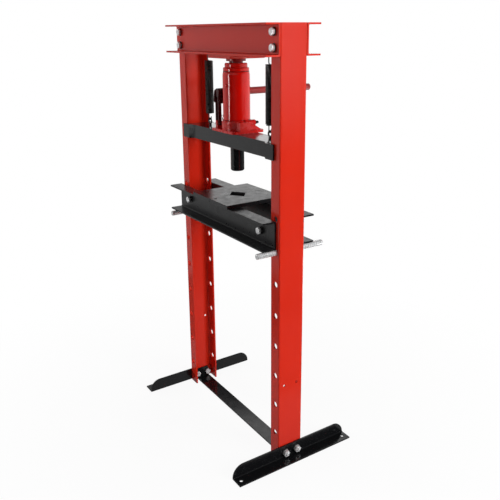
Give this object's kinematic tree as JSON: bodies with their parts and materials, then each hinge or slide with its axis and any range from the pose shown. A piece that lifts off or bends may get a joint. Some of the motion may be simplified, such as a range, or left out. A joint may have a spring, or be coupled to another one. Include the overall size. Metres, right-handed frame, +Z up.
{
  "type": "hydraulic bench press",
  "caption": "Hydraulic workshop press: H frame of channel posts, loose bed on pins with notched plates, and a bottle jack on a spring-hung press beam.",
  "frame": {"origin": "centre of the four floor holes, on the floor", "axes": "+X from the left post to the right post, -Y to the front, +Z up"},
  "size_m": [0.668, 0.547, 1.32],
  "materials": {
    "frame_red": "gloss",
    "jack_red": "gloss",
    "black_paint": "gloss",
    "zinc": "zinc plated",
    "bright_steel": "ground",
    "spring_black": "satin",
    "rubber": "matt"
  },
  "bodies": {
    "frame": {"post_left": "frame_red", "post_right": "frame_red", "head_beam_front": "frame_red", "head_beam_rear": "frame_red", "head_plate": "frame_red", "head_ribs": "frame_red", "spring_rods": "frame_red", "head_bolts": "zinc", "head_washers": "zinc", "head_nuts": "zinc", "foot_left": "black_paint", "foot_right": "black_paint", "base_brace": "black_paint", "foot_bolts": "zinc", "foot_washers": "zinc", "foot_nuts": "zinc", "return_spring_left": "spring_black", "return_spring_right": "spring_black"},
    "bed": {"bed_channel_front": "black_paint", "bed_channel_rear": "black_paint", "bed_spacers": "zinc", "bed_bolts": "zinc", "bed_washers": "zinc", "bed_nuts": "zinc"},
    "pin_left": {"bed_pin_left": "zinc"},
    "pin_right": {"bed_pin_right": "zinc"},
    "plate_left": {"arbor_plate_left": "black_paint"},
    "plate_right": {"arbor_plate_right": "black_paint"},
    "press": {"press_beam": "black_paint", "pin_holder": "black_paint", "press_pin": "black_paint", "pin_screw": "zinc", "spring_eyes": "zinc", "eye_nuts": "zinc", "jack_base": "jack_red", "jack_cylinder": "bright_steel", "jack_reservoir": "jack_red", "reservoir_cap": "jack_red", "gland_nut": "jack_red", "gland_seal": "rubber", "filler_plug": "rubber", "pump_barrel": "bright_steel", "lever_links": "jack_red", "link_pin": "zinc", "fulcrum_pin": "zinc"},
    "ram": {"jack_ram": "bright_steel", "ram_seal": "rubber"},
    "screw": {"extension_screw": "bright_steel", "saddle": "jack_red"},
    "plunger": {"pump_plunger": "bright_steel", "plunger_pin": "zinc"},
    "lever": {"pump_lever": "jack_red"},
    "handle": {"handle_bar": "jack_red"},
    "valve": {"release_valve": "black_paint"}
  },
  "joints": [
    {"name": "press_stroke", "type": "slide", "parent": "frame", "child": "press", "axis": [0, 0, -1], "range_m": [0, 0.06], "stiffness_N_per_m": 4000, "springref_m": -0.06, "deforming": ["return_spring_left", "return_spring_right"]},
    {"name": "ram_stroke", "type": "slide", "parent": "press", "child": "ram", "axis": [0, 0, 1], "range_m": [0, 0.06]},
    {"name": "saddle_turn", "type": "hinge", "parent": "ram", "child": "screw", "pos_m": [0, 0, 1.2], "axis": [0, 0, 1], "continuous": true},
    {"name": "lever_swing", "type": "hinge", "parent": "press", "child": "lever", "pos_m": [-0.064, -0.028, 1.092], "axis": [1, 0, 0], "range_deg": [-4, 30]},
    {"name": "plunger_stroke", "type": "slide", "parent": "press", "child": "plunger", "axis": [0, 0, 1], "range_m": [-0.0019, 0.0133]},
    {"name": "handle_pull", "type": "slide", "parent": "lever", "child": "handle", "axis": [0, 1, 0], "range_m": [0, 0.11]},
    {"name": "valve_turn", "type": "hinge", "parent": "press", "child": "valve", "pos_m": [0.044, 0.036, 1.03], "axis": [0, 1, 0], "range_deg": [0, 270]},
    {"name": "bed_lift", "type": "slide", "parent": "frame", "child": "bed", "axis": [0, 0, 1], "range_m": [0, 0.012]},
    {"name": "plate_left_slide", "type": "slide", "parent": "bed", "child": "plate_left", "axis": [-1, 0, 0], "range_m": [0, 0.1]},
    {"name": "plate_right_slide", "type": "slide", "parent": "bed", "child": "plate_right", "axis": [1, 0, 0], "range_m": [0, 0.14]},
    {"name": "pin_left_pull", "type": "slide", "parent": "frame", "child": "pin_left", "axis": [0, -1, 0], "range_m": [0, 0.18]},
    {"name": "pin_right_pull", "type": "slide", "parent": "frame", "child": "pin_right", "axis": [0, -1, 0], "range_m": [0, 0.18]}
  ],
  "couplings": [
    {"joint": "ram_stroke", "follows": "press_stroke", "ratio": 1},
    {"joint": "plunger_stroke", "follows": "lever_swing", "m_per_rad": 0.025}
  ]
}
